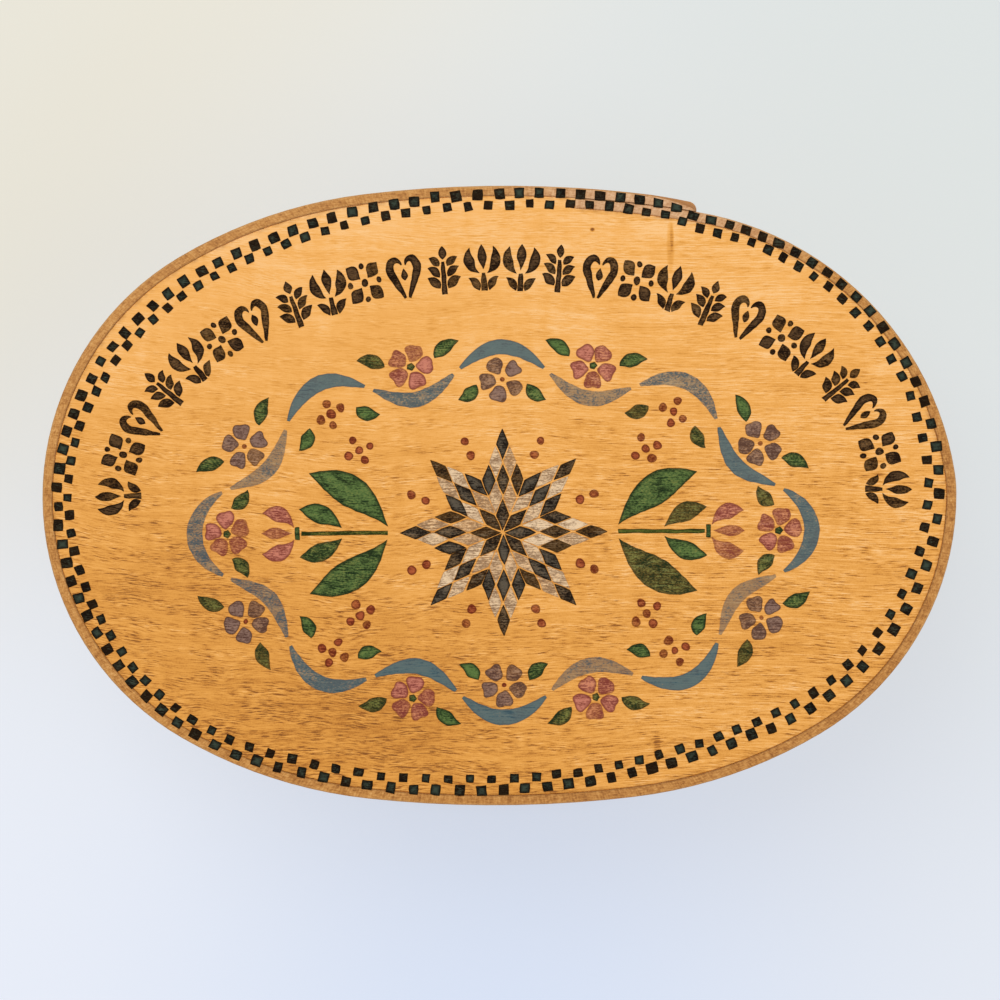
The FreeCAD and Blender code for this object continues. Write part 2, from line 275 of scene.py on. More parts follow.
def evenly(path, shares):
    """(points, directions) on a path at shares of its length, from 0 to 1."""
    steps = np.linalg.norm(np.diff(path, axis=0), axis=1)
    way = np.concatenate([[0], np.cumsum(steps)])
    targets = np.asarray(shares) * way[-1]
    points = np.stack([np.interp(targets, way, path[:, k]) for k in (0, 1)], 1)
    ahead = np.stack([np.interp(targets + 0.2, way, path[:, k]) for k in (0, 1)], 1)
    behind = np.stack([np.interp(targets - 0.2, way, path[:, k]) for k in (0, 1)], 1)
    direction = ahead - behind
    return points, direction / np.linalg.norm(direction, axis=1)[:, None]


def turned(points, degrees):
    """Points turned counter-clockwise about the origin."""
    c = math.cos(math.radians(degrees))
    s = math.sin(math.radians(degrees))
    return points @ np.array([[c, s], [-s, c]])


# ---------------------------------------------------------------- wood

SATIN = {"Specular IOR Level": 0.2}

# Ramps from dark to pale: the lid's board, a strip's faces, its saw-cut edge, the same where it is
# rosy, and the bottom board
HONEY = [
    (0.0, linear(138, 80, 24)),
    (0.2, linear(191, 121, 43)),
    (0.4, linear(220, 149, 62)),
    (0.6, linear(234, 163, 74)),
    (0.8, linear(246, 178, 94)),
    (1.0, linear(253, 198, 132)),
]
BAND_SIDE = [
    (0.0, linear(116, 66, 26)),
    (0.35, linear(174, 110, 50)),
    (0.6, linear(202, 138, 70)),
    (1.0, linear(228, 172, 104)),
]
BAND_EDGE = [
    (0.0, linear(132, 78, 30)),
    (0.35, linear(182, 121, 57)),
    (0.6, linear(206, 146, 77)),
    (1.0, linear(230, 178, 112)),
]
ROSY_EDGE = [
    (0.0, linear(160, 106, 68)),
    (0.35, linear(194, 144, 102)),
    (0.6, linear(212, 166, 126)),
    (1.0, linear(232, 192, 156)),
]
PINE = [
    (0.0, linear(176, 118, 62)),
    (0.45, linear(214, 164, 102)),
    (0.7, linear(228, 184, 124)),
    (1.0, linear(238, 202, 150)),
]
BOARD_GRIME = linear(150, 92, 40)
FACE_GRIME = linear(112, 66, 30)
SEAM = linear(96, 56, 26)
RUBBED_CORNER = linear(216, 166, 104)
# the fingers' cuts: their end grain's deeper stain, and painted shade along the fingers' outlines
FINGER_CUT_STAIN_AND_SHADE = linear(98, 54, 22)

# Small marks in the board: x, y, half-length along X, half-length along Y, depth of the stain
MARKS = [
    (28.4, 79.6, 0.55, 0.45, 0.9),
    (51.8, 74.5, 0.8, 5.5, 0.3),
    (52.2, 77.0, 0.4, 3.0, 0.3),
    (50.0, 3.6, 1.2, 6.0, 0.16),
    (46.8, -76.0, 0.8, 3.5, 0.3),
    (-52.0, -68.0, 34.0, 13.0, 0.1),
    (-98.0, -22.0, 20.0, 16.0, 0.06),
]


def depth_inside(x, y, oval):
    """How far inside an oval's edge a place lies, along the radius of the arc that faces it."""
    fold_x = x.size()
    fold_y = y.size()
    depth = fold_x * 0.0
    for centre_x, centre_y, radius, start, _ in oval.quarter():
        arm_x = fold_x - centre_x
        arm_y = fold_y - centre_y
        here = (arm_x * math.cos(start) - arm_y * math.sin(start)).above(0.0)
        inset = radius - (arm_x * arm_x + arm_y * arm_y).math("SQRT")
        depth = depth + here * (inset - depth)
    return depth


def under_lap(x, y):
    """(depth inside the outermost ply, depth inside the first ply): they differ by a step in the lap."""
    plain = depth_inside(x, y, OVAL)
    tucked = x.above(LAP_START) * y.above(0.0)
    inner = plain + tucked * (depth_inside(x, y, TUCKED) - plain)
    return inner + tucked * (1.0 - x.above(FINGER_TIP)) * PLY_STEP, inner


def board_grain(g):
    """The lid's board, its grain along X: (tone, the fine grain alone, about 0).

    Short dark flecks and silvery ones lie in flurries among long fibres, on a ground that is paler towards
    +Y, where they are faintest; the paleness is painted light from that side. Towards +X the grain is
    straight and has more of the fibres, towards -Y it waves, and towards -X it turns down to the right.
    """
    x, y, z = g.place()
    high = y.rise(-70.0, 60.0)
    right = x.rise(-30.0, 60.0)
    left = (-30.0 - x).at_least(0.0)
    drift = g.noise(x / 62, y / 46, z / 60, 1.0)
    waver = g.noise(x / 17, y / 9, z / 40 + 3, 1.0)
    across = y + x * 0.02 - left * left * 0.0006 + (drift - 0.5) * (9.0 - right * 5.0)
    across = across + waver * (3.0 - high * 2.0) * (1.0 - right * 0.8)
    pores = g.noise(x / 5.6, across / 0.46, z / 2, 2.0, 0.6)
    dashes = g.noise(x / 3.6 + 40, across / 0.3, z / 2, 3.0, 0.62)
    fibres = g.noise(x / 18, across / 0.36 + 60, z / 2, 2.0, 0.6)
    grit = g.noise(x / 0.5, y / 0.45, z / 0.5 + 5, 1.0)
    silver = g.noise(x / 7.0, across / 0.5 + 90, z / 2, 2.0, 0.55)
    flurries = g.noise(x / 13, across / 3.4 + 20, z / 20, 2.0, 0.5)
    bands = g.noise(x / 34, across / 2.8, z / 20, 3.0, 0.65)
    clouds = g.noise(x / 30, y / 20, z / 40 + 7, 3.0, 0.55)
    chatter = g.noise(x / 3.2, y / 26, z / 30, 1.0)
    flecks = pores.rise(0.47, 0.74)
    streaks = silver.rise(0.48, 0.74)
    strength = 1.85 + right * 0.6 - y.rise(-15.0, 62.0) * 1.15
    # painted light: the ground is paler towards +Y and most at the far edge, and lighter at the lower right
    ground = 0.445 + high * 0.335 + y.rise(50.0, 92.0) * 0.12
    ground = ground + (1.0 - high) * right * 0.17
    for mark_x, mark_y, half_x, half_y, depth in MARKS:
        off = ((x - mark_x) / half_x) ** 2.0 + ((y - mark_y) / half_y) ** 2.0
        ground = ground - off.rise(3.0, 0.0) * depth
    ground = ground + (clouds - 0.5) * 0.36 + (chatter - 0.5) * 0.14
    ground = ground + (bands - 0.5) * (0.3 + strength * 0.2)
    grain = (dashes - 0.5) * (1.1 - right * 0.25) - flecks * 0.18 + streaks * 0.05
    grain = grain * (0.45 + flurries.rise(0.34, 0.68) * (1.25 - right * 0.35))
    grain = grain + (fibres - 0.5) * (0.3 + right * 0.35) + (grit - 0.5) * 0.18
    grain = grain - grain.at_least(0.0) * 0.35
    return ground + strength * grain, grain


def board_wood(name):
    """The lid's board: satin varnish over its grain, with grime along the joint to the band."""
    g = new_graph(name)
    tone, grain = board_grain(g)
    x, y, z = g.place()
    ragged = g.noise(x / 2.4, y / 2.4, z / 4, 2.0)
    rim = (under_lap(x, y)[1] - PLY).rise(1.7, 0.0)
    colour = g.mix(rim * ragged.rise(0.3, 0.8) * 0.55, g.ramp(tone, HONEY), BOARD_GRIME)
    return g.finish(colour, 0.44 - grain * 0.2, grain * 3.0, 0.02, SATIN)


def finger_cuts(x, y, z, normal, node):
    """1 on the cut flanks and tips of a strip's fingers, which face along the oval or lean up or down.

    The strip's own upper and lower edges are left out, by their distance from its box.
    """
    low, high = (corner[2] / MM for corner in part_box(node))
    slope_x = x / LID_HIGH[0] ** 2
    slope_y = y / LID_HIGH[1] ** 2
    steepness = (slope_x * slope_x + slope_y * slope_y).math("SQRT").at_least(0.0001)
    along_oval = (normal[0] * slope_y - normal[1] * slope_x).size() / steepness
    leaning = normal[2].size()
    cut = along_oval.rise(0.35, 0.7).at_least(leaning.rise(0.2, 0.5))
    return cut * (z - low).rise(*CUTS_FROM) * (high - z).rise(*CUTS_FROM)


def band_wood(name, node):
    """Bent strip: long grain on its faces, mottled saw-cut edges, and dark cuts round its fingers, of stain
    and painted shade.
    """
    g = new_graph(name)
    x, y, z = g.place()
    outer, inner = under_lap(x, y)
    reach = ((x / LID_HIGH[0]) ** 2.0 + (y / LID_HIGH[1]) ** 2.0).math("SQRT").at_least(0.01)
    cosine = x / LID_HIGH[0] / reach
    sine = y / LID_HIGH[1] / reach
    facing = g.node("NewGeometry", {}, {}, "Normal")
    normal = [g.node("SeparateXYZ", {}, {0: facing}, axis) for axis in "XYZ"]
    facing_up = normal[2].size()
    on_edge = facing_up.rise(0.5, 0.8)

    def along(turns, deep, level, detail=2.0, roughness=0.5):
        ring = turns + outer * deep
        return g.noise(cosine * ring, sine * ring, z * level, detail, roughness)

    bow = along(2.5, 0.0, 0.02, 1.0) * 5
    pores = g.noise(cosine * 26, sine * 26, (z + bow) * 2.2, 2.0, 0.6).rise(0.53, 0.72)
    silver = g.noise(cosine * 20, sine * 20, (z + bow) * 1.8 + 50, 2.0, 0.55).rise(0.54, 0.74)
    lines = g.noise(cosine * 3.2, sine * 3.2, (z + bow) * 0.45, 3.0, 0.6)
    clouds = along(4.0, 0.1, 0.05, 2.0)
    rubbed = along(9.0, 0.2, 0.3, 3.0, 0.6)
    side_tone = 0.52 + (lines - 0.5) * 0.75 + (clouds - 0.5) * 0.5 - pores * 0.3 + silver * 0.16
    side = g.ramp(side_tone, BAND_SIDE)
    saw = along(60, 2.6, 0.1, 3.0, 0.6)
    cuts = along(230, 0.3, 0.1, 2.0, 0.55)
    mottle = g.noise(x / 2.6, y / 2.6, z / 2.6, 3.0, 0.65)
    specks = g.noise(x / 0.6, y / 0.6, z / 0.6 + 9, 2.0, 0.7)
    rosy = y.rise(66.0, 88.0) * x.rise(-12.0, 34.0)
    low_right = (x * 0.6 - y).rise(20.0, 110.0)
    edge_tone = 0.47 + (saw - 0.5) * 1.1 + (cuts - 0.5) * 0.8
    edge_tone = edge_tone + (mottle - 0.5) * 0.8 + (specks - 0.5) * 0.6
    edge_tone = edge_tone + rosy * 0.1 - low_right * 0.08
    lapped = x.above(LAP_START) * x.rise(FINGER_TIP + 0.2, FINGER_TIP) * y.above(0.0)
    flank = (x - FINGER_ROOT).at_least(0.0) / (FINGER_TIP - FINGER_ROOT)
    flank = (flank * flank * FLANK_REACH + RIM_KEEP - outer).rise(-0.15, 0.15)
    flank = flank * lapped * facing_up.rise(1.0, 0.99)
    edge = g.mix(rosy * 0.8, g.ramp(edge_tone, BAND_EDGE), g.ramp(edge_tone, ROSY_EDGE))
    edge = g.mix(flank, edge, g.ramp(edge_tone - 0.12, BAND_SIDE))
    # seams: against the board, and between the plies of the lap
    board_seam = (inner - PLY).size().rise(0.55, 0.0) * (1.0 - rosy * 0.5)
    ply_seam = (outer - PLY).size().rise(0.35, 0.0) * lapped * 0.3
    seam = board_seam.at_least(ply_seam) * mottle.rise(0.2, 0.6) * 0.6
    edge = g.mix(seam, edge, SEAM)
    # the eased corners are rubbed bare
    arris = outer.rise(0.8, 0.2) * rubbed.rise(0.35, 0.6) * 0.55
    edge = g.mix(arris, edge, RUBBED_CORNER)
    grime = (z - LID_TOP).size().rise(1.8, 0.2) * rubbed.rise(0.35, 0.7) * 0.45
    side = g.mix(grime, side, FACE_GRIME)
    colour = g.mix(on_edge, side, edge)
    # the fingers' cut sides have drunk up more stain, and painted shade darkens them to mark the fingers'
    # outlines
    cut = finger_cuts(x, y, z, normal, node)
    colour = g.mix(cut * (0.6 + mottle * 0.4), colour, FINGER_CUT_STAIN_AND_SHADE)
    return g.finish(colour, 0.44 + pores * 0.1, silver * 0.3 - pores, 0.025, SATIN)


def pine_wood(name):
    """Bottom board: plain softwood, its growth lines along X."""
    g = new_graph(name)
    x, y, z = g.place()
    wave = g.noise(x / 90, y / 30, z / 30, 2.0)
    rings = g.noise(x / 160, (y + wave * 26) / 3.2, z / 9, 1.0)
    late = rings.rise(0.5, 0.66)
    pores = g.noise(x / 9, y / 0.6, z / 2, 2.0)
    clouds = g.noise(x / 45, y / 30, z / 30, 2.0)
    tone = 0.72 - late * 0.34 + (pores - 0.5) * 0.3 + (clouds - 0.5) * 0.3
    return g.finish(g.ramp(tone, PINE), 0.6 - late * 0.12, late + pores * 0.5, 0.03, SATIN)


def peg_wood(name):
    """Pegs, cut off flush: dark end grain with fine pores."""
    g = new_graph(name)
    x, y, z = g.place()
    pores = g.noise(x / 0.35, y / 0.35, z / 0.35, 2.0)
    blotch = g.noise(x / 2.5, y / 2.5, z / 2.5, 1.0)
    tone = 0.3 + (pores - 0.5) * 0.7 + (blotch - 0.5) * 0.4
    return g.finish(g.ramp(tone, BAND_SIDE), 0.6, pores, 0.03, SATIN)


def dull_copper(name):
    """Tack heads: brown copper, brighter where they are rubbed."""
    g = new_graph(name)
    x, y, z = g.place()
    tarnish = g.noise(x / 1.6, y / 1.6, z / 1.6, 3.0, 0.6)
    hammer = g.noise(x / 0.8, y / 0.8, z / 0.8, 1.0)
    stops = [(0.25, linear(92, 58, 42)), (0.55, linear(152, 94, 64)), (0.8, linear(196, 132, 96))]
    colour = g.ramp(tarnish, stops)
    return g.finish(colour, 0.62 - tarnish * 0.35, hammer, 0.06, {"Metallic": 1.0})


# ---------------------------------------------------------------- islands of paint

# An island is (points, depth, faces): depth is how far a point lies inside the island's edge


def stroke(path, half, across=(-1.0, -0.6, 0.0, 0.6, 1.0)):
    """Island along a path: the path plus its left normal times the half-width times a share from -1 to 1."""
    share = np.array(across)
    direction = np.gradient(path, axis=0)
    direction = direction / np.linalg.norm(direction, axis=1)[:, None]
    left = np.stack([-direction[:, 1], direction[:, 0]], 1)
    points = path[:, None] + left[:, None] * (half[:, None] * share)[..., None]
    depth = half[:, None] * (1 - np.abs(share))
    rows, columns = depth.shape
    index = np.arange(rows * columns).reshape(rows, columns)
    quads = np.stack([index[:-1, :-1], index[1:, :-1], index[1:, 1:], index[:-1, 1:]], -1)
    return points.reshape(-1, 2), depth.reshape(-1), [quads.reshape(-1, 4)]


def disc(outline, rings=(0.45, 0.8, 1.0)):
    """Island about the origin: the outline times each ring's share, with a fan to the middle point."""
    share = np.array(rings)
    count = len(outline)
    points = (share[:, None, None] * outline[None]).reshape(-1, 2)
    depth = ((1 - share)[:, None] * np.linalg.norm(outline, axis=1)).reshape(-1)
    middle = np.min(np.linalg.norm(outline, axis=1))
    index = 1 + np.arange(len(rings) * count).reshape(len(rings), count)
    following = np.roll(index, -1, axis=1)
    fan = np.stack([np.zeros(count, int), index[0], following[0]], -1)
    quads = np.stack([index[:-1], index[1:], following[1:], following[:-1]], -1)
    points = np.concatenate([[[0.0, 0.0]], points])
    return points, np.concatenate([[middle], depth]), [fan, quads.reshape(-1, 4)]


def leaf(length, width, bend=0.0, steps=15, fullest=0.85):
    """Pointed leaf from the origin along +X: a parabola of that bend, as wide as the sine of its way."""
    way = np.linspace(0, 1, steps)
    path = np.stack([length * way, 4 * bend * way * (1 - way)], 1)
    return stroke(path, POINT + width / 2 * np.sin(math.pi * way**fullest))


def stem(start, end, bend, width, flare=1.0):
    """Stalk between two points, bowed to its left by the bend; its far end is flare times as wide."""
    way = np.linspace(0, 1, 13)
    chord = np.subtract(end, start)
    left = np.array([-chord[1], chord[0]]) / np.linalg.norm(chord)
    path = np.array(start) + way[:, None] * chord + (4 * bend * way * (1 - way))[:, None] * left
    return stroke(path, width / 2 * (1 + (flare - 1) * way**2), (-1.0, 0.0, 1.0))


def check(side_a, side_b):
    """Four-cornered patch: a superellipse of power 10, twelve points round, sheared onto two sides."""
    angle = np.radians([0, 33, 57, 90, 123, 147, 180, 213, 237, 270, 303, 327])
    power = 2 / 10
    a = np.sign(np.cos(angle)) * np.abs(np.cos(angle)) ** power / 2
    b = np.sign(np.sin(angle)) * np.abs(np.sin(angle)) ** power / 2
    return disc(a[:, None] * np.array(side_a) + b[:, None] * np.array(side_b), (0.7, 1.0))


def blob(radius, lobes, count):
    """Rounded patch: its radius times 1 plus a cosine for each (waves, size, phase)."""
    angle = np.linspace(0, 2 * math.pi, count, endpoint=False)
    reach = radius * (1 + sum(size * np.cos(waves * angle + phase) for waves, size, phase in lobes))
    return disc(np.stack([reach * np.cos(angle), reach * np.sin(angle)], 1))


def petal(length, width, notch, ripple, phase):
    """Petal along +X about the origin: an ellipse, wider ahead, its far end notched, its edge rippled."""
    angle = np.linspace(-math.pi, math.pi, 24, endpoint=False)
    ahead = np.cos(angle) * (1 - notch * np.exp(-((angle / 0.42) ** 2)))
    swell = 1 + ripple * np.cos(4 * angle + phase)
    aside = np.sin(angle) * (1 + 0.3 * np.cos(angle))
    return disc(np.stack([length / 2 * ahead * swell, width / 2 * aside * swell], 1))


class Film:
    """One colour of paint: takes islands and makes them one thin closed piece on the lid."""

    def __init__(self, name, coat):
        """The coat is how many films may lie under this one."""
        self.name = name
        self.coat = coat
        self.points = []
        self.depth = []
        self.shade = []
        self.faces = []
        self.count = 0

    def lay(self, island, place=(0.0, 0.0), turn=0.0, mirror=1.0):
        """Adds an island, mirrored across its own X axis if mirror is -1, turned and moved to its place."""
        points, depth, faces = island
        points = turned(points * np.array([1.0, mirror]), turn) + np.array(place)
        self.points.append(points)
        self.depth.append(depth)
        self.shade.append(np.full(len(depth), RANDOM.random()))
        for face in faces:
            ordered = face if mirror > 0 else face[:, ::-1]
            self.faces.extend((ordered + self.count).tolist())
        self.count += len(points)

    def make(self, material):
        """Wavers the outlines, keeps them off the lid's edge, and thickens the sheet downwards."""
        plan = np.concatenate(self.points)
        plan = plan + WOBBLE * np.stack([unsteady(plan, 0.0), unsteady(plan[:, ::-1], 2.0)], 1)
        plan = keep_in(plan, RIM_KEEP)
        level = np.full(len(plan), LID_TOP + FILM / 2 + COAT_STEP * self.coat)
        mesh = bpy.data.meshes.new(self.name)
        mesh.from_pydata(np.column_stack([plan, level]) * MM, [], self.faces)
        for name, values in (("depth", self.depth), ("shade", self.shade)):
            layer = mesh.attributes.new(name, "FLOAT", "POINT")
            layer.data.foreach_set("value", np.concatenate(values).astype(np.float32))
        piece = bpy.data.objects.new(self.name, mesh)
        bpy.context.scene.collection.objects.link(piece)
        mesh.materials.append(material)
        solid = piece.modifiers.new("film", "SOLIDIFY")
        solid.thickness = FILM * MM
        solid.offset = -1.0
        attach(piece, "lid")


def unsteady(points, phase):
    """Smooth waver of a hand: three sines of different lengths and headings."""
    x = points[:, 0]
    y = points[:, 1]
    slow = np.sin(0.31 * x + 0.23 * y + phase)
    quick = np.sin(1.3 * x - 0.9 * y + 2 * phase)
    return 0.6 * slow + 0.5 * quick + 0.4 * np.sin(2.1 * y + 1.1 * x + 3 * phase)


# ---------------------------------------------------------------- border of squares

BORDER = Oval(129.9, 87.9, 217.2, 40.0, 217.0)   # side and shoulder are as good as one arc
BORDER_PLACE = (-0.3, 0.7)
BORDER_TILT = 2.65         # degrees, because it was marked out askew
BORDER_KEEP = 3.3          # from the rim's edge to the line between the rows, at least
SQUARES = 114              # in each of the two rows
BORDER_ROWS = [(0.0, 1.7, 3.2), (0.5, -1.6, 2.75)]   # shift along in squares, distance off the line, size
# The line and the spacing wander: waves round the oval, size, phase in degrees
LINE_WANDER = [(1, 0.3, 0), (2, 0.25, 105), (3, 0.3, -10), (4, 0.45, 55), (6, 0.5, -150), (7, 0.2, 170)]
PITCH_WANDER = [(1, 0.073, 146), (2, 0.035, -52), (3, 0.069, -63), (4, 0.034, 49)]


def lay_border(film):
    """Two rows of squares in step, each square between two of the other row."""
    path = BORDER.outline()
    for shift, side, size in BORDER_ROWS:
        count = (np.arange(SQUARES) + shift) / SQUARES
        share = count.copy()
        for waves, amount, phase in PITCH_WANDER:
            angle = 2 * math.pi * waves * count - math.radians(phase)
            share = share + amount / waves * np.sin(angle) / (2 * math.pi)
        points, direction = evenly(path, share % 1.0)
        outward = np.stack([-direction[:, 1], direction[:, 0]], 1)
        line = sum(a * np.cos(2 * math.pi * w * share - math.radians(p)) for w, a, p in LINE_WANDER)
        points = turned(points + outward * line[:, None], BORDER_TILT) + np.array(BORDER_PLACE)
        points = keep_in(points, BORDER_KEEP) + turned(outward, BORDER_TILT) * side
        heading = np.degrees(np.arctan2(direction[:, 1], direction[:, 0])) + BORDER_TILT
        for point, angle in zip(points, heading):
            width = size * RANDOM.normal(1.0, 0.07)
            height = size * RANDOM.normal(1.0, 0.06)
            lean = RANDOM.normal(0.0, 0.12)
            patch = check((width, 0.0), (lean, height))
            film.lay(patch, point + RANDOM.normal(0.0, 0.14, 2), angle + RANDOM.normal(0.0, 3.5))


# ---------------------------------------------------------------- arc of small stencilled ornaments

ARC_CENTRE = (1.0, 0.0)
ARC_REACH = (115.5, 68.6)
ARC_SPAN = math.radians(94)
ORNAMENTS = 26
ORNAMENT_SCALE = (1.02, 1.16)  # along the arc, across it


def tulip():
    """Three-petalled bud on a stalk with two low leaves, 12 high, about the origin."""
    parts = [
        (leaf(6.6, 2.7, 0.0, 11, 1.2), (0, -0.5), 90),
        (stem((0, -6), (0, -1.4), 0, 1.9, 0.6), (0, 0), 0),
    ]
    for side in (-1, 1):
        parts.append((leaf(7.2, 3.0, -1.5 * side, 13, 1.1), (1.25 * side, -1.4), 90 - 19 * side))
        parts.append((leaf(4.5, 2.2, 0.6 * side, 11), (1.4 * side, -5.9), 90 - 42 * side))
    return parts


def quatrefoil():
    """Four petals aslant about a dot, with a small dot between each pair."""
    parts = [(blob(1.1, [], 12), (0, 0), 0)]
    for quarter in range(4):
        angle = 45 + 90 * quarter
        foot = turned(np.array([[1.6, 0.0]]), angle)[0]
        dot = turned(np.array([[4.3, 0.0]]), angle + 45)[0]
        parts.append((leaf(4.9, 3.7, 0.0, 11, 1.1), foot, angle))
        parts.append((blob(0.85, [], 10), dot, 0))
    return parts


def heart():
    """Two halves with a bud between them, each a straight tail that runs into an elliptical curl."""
    angle = np.radians(np.linspace(-25, 160, 13))
    curl = np.stack([2.2 + 1.8 * np.cos(angle), 2.0 + 2.3 * np.sin(angle)], 1)
    tail = np.linspace((0.55, -5.9), curl[0], 9)[:-1]
    path = np.concatenate([tail, curl])
    half = POINT + 1.15 * np.sin(math.pi * np.linspace(0.06, 0.98, len(path))) ** 0.8
    parts = [(leaf(3.2, 1.9, 0, 9), (0, -1.3), 90)]
    for side in (-1, 1):
        parts.append((stroke(path * np.array([side, 1.0]), half), (0, 0), 0))
    return parts


def sprig():
    """Upright stalk with three pairs of leaflets and one at its head."""
    parts = [(stem((0, -6), (0, 2.4), 0, 1.7, 0.6), (0, 0), 0), (leaf(3.4, 2.3, 0, 9), (0, 3.0), 90)]
    for level, size in ((-4.4, 1.0), (-1.5, 0.92), (1.2, 0.8)):
        for side in (-1, 1):
            leaflet = leaf(4.7 * size, 2.5 * size, 0.4 * side, 9)
            parts.append((leaflet, (1.15 * side, level), 90 - 54 * side))
    return parts


def lay_arc(film):
    """The four ornaments in turn, mirrored about the middle of the arc, their feet towards its centre."""
    bearing = np.linspace(-ARC_SPAN, ARC_SPAN, 800)
    path = np.stack([ARC_REACH[0] * np.sin(bearing), ARC_REACH[1] * np.cos(bearing)], 1)
    points, direction = evenly(path, (np.arange(ORNAMENTS) + 0.5) / ORNAMENTS)
    kinds = [tulip, quatrefoil, heart, sprig]
    for number, (point, ahead) in enumerate(zip(points, direction)):
        step = min(number, ORNAMENTS - 1 - number)
        heading = math.degrees(math.atan2(ahead[1], ahead[0])) + RANDOM.normal(0.0, 2.0)
        centre = point + np.array(ARC_CENTRE) + RANDOM.normal(0.0, 0.3, 2)
        for (outline, depth, faces), place, turn in kinds[step % 4]():
            outline = (turned(outline, turn) + np.array(place)) * np.array(ORNAMENT_SCALE)
            film.lay((outline, depth, faces), centre, heading)


# ---------------------------------------------------------------- star, sprays and wreath

STAR_CENTRE = np.array([1.0, -11.0])
STAR_POINTS = 8
STAR_ROWS = 3              # lozenges along each side of a point
LOZENGE = 5.7
LOZENGE_GAP = 0.25
STAR_BERRIES = (25.0, 29.6)   # reach of the two between each pair of points
BERRY_RADIUS = 1.35
BUNCH_REACH = 3.5
PETALS = 5                 # of a rosette or a rose
WREATH_REACH = (86.0, 49.0)
WAVES = 8                  # of the ribbon round the wreath
WAVE_HEIGHT = 6.6
RIBBON = 4.6               # width of a ribbon stroke at its middle
RIBBON_SPAN = 0.46         # of its bay, to either side: the rest is the cut
BAY_DEPTH = 3.2            # from the wreath's oval to the middle of a bay's filling, away from the ribbon
BAY_LEAF_FOOT = (7.6, 1.4)   # from that middle, along the oval and further away from the ribbon
ROSE_SIZE = 1.06
ROSETTE_SIZE = 1.13

# Sprays, from the star's middle: a leaf's (length, width, bend, steps, fullest), its foot and its heading
BIG_LEAF = ((28.5, 9.4, 2.6, 21, 1.15), (34.6, 2.0), 34)
SMALL_LEAF = ((14, 5.6, 1.3, 15, 1.15), (48.4, 1.5), 24)
TULIP_SIDE = ((10.4, 4.9, 1.8, 13, 1.2), (62.7, 1.9), 24)
TULIP_MIDDLE = ((9.2, 3.4, 0.0, 13, 1.25), (63.2, 0), 0)
STALK_FOOT = 34.5
STALK_LENGTH = 26.0
TULIP_CUP = 61.7
SPRAY_BUNCH = (43.0, 24.8)


def lay_star(dark, pale, berries):
    """Eight-pointed patchwork star: each point a lozenge of 3 by 3 small ones, dark and pale in turn."""
    for number in range(STAR_POINTS):
        heading = 90 + number * 360 / STAR_POINTS
        side_a = turned(np.array([[1.0, 0.0]]), heading - 180 / STAR_POINTS)[0]
        side_b = turned(np.array([[1.0, 0.0]]), heading + 180 / STAR_POINTS)[0]
        for i in range(STAR_ROWS):
            for j in range(STAR_ROWS):
                film = dark if (i + j) % 2 == 0 else pale
                centre = STAR_CENTRE + LOZENGE * ((i + 0.5) * side_a + (j + 0.5) * side_b)
                size = (LOZENGE - LOZENGE_GAP) * RANDOM.normal(1.0, 0.02)
                film.lay(check(side_a * size, side_b * size), centre + RANDOM.normal(0.0, 0.1, 2))
        between = math.radians(heading + 180 / STAR_POINTS)
        for reach in STAR_BERRIES:
            spot = STAR_CENTRE + reach * np.array([math.cos(between), math.sin(between)])
            berries.lay(berry(), spot)


def berry():
    """Nearly round drop of paint."""
    radius = RANDOM.normal(BERRY_RADIUS, 0.08)
    return blob(radius, [(2, 0.04, RANDOM.random() * 6), (3, 0.03, RANDOM.random() * 6)], 14)


def lay_bunch(berries, centre, heading):
    """Five berries: one, and four in an uneven ring about it."""
    berries.lay(berry(), centre)
    for number in range(4):
        reach = RANDOM.normal(BUNCH_REACH, 0.15)
        spot = turned(np.array([[reach, 0.0]]), heading + 90 * number + RANDOM.normal(0.0, 6.0))[0]
        berries.lay(berry(), centre + spot)


def lay_rosette(florets, berries, centre, size):
    """Five uneven petals, well apart, about a dark eye."""
    start = RANDOM.random() * 360 / PETALS
    for number in range(PETALS):
        heading = start + 360 / PETALS * number + RANDOM.normal(0.0, 3.0)
        spot = centre + turned(np.array([[3.9 * size, 0.0]]), heading)[0]
        width = 4.3 * size * RANDOM.normal(1.0, 0.05)
        florets.lay(petal(4.7 * size, width, 0.16, 0.06, RANDOM.random() * 6), spot, heading)
    berries.lay(blob(0.75, [], 10), centre)


def lay_rose(petals, leaves, centre, size):
    """Round blossom of five notched petals about a green heart."""
    start = RANDOM.random() * 360 / PETALS
    for number in range(PETALS):
        heading = start + 360 / PETALS * number + RANDOM.normal(0.0, 2.0)
        spot = centre + turned(np.array([[4.1 * size, 0.0]]), heading)[0]
        petals.lay(petal(5.3 * size, 5.0 * size, 0.2, 0.05, number), spot, heading)
    leaves.lay(blob(1.1 * size, [(5, 0.12, 0.0)], 15), centre)


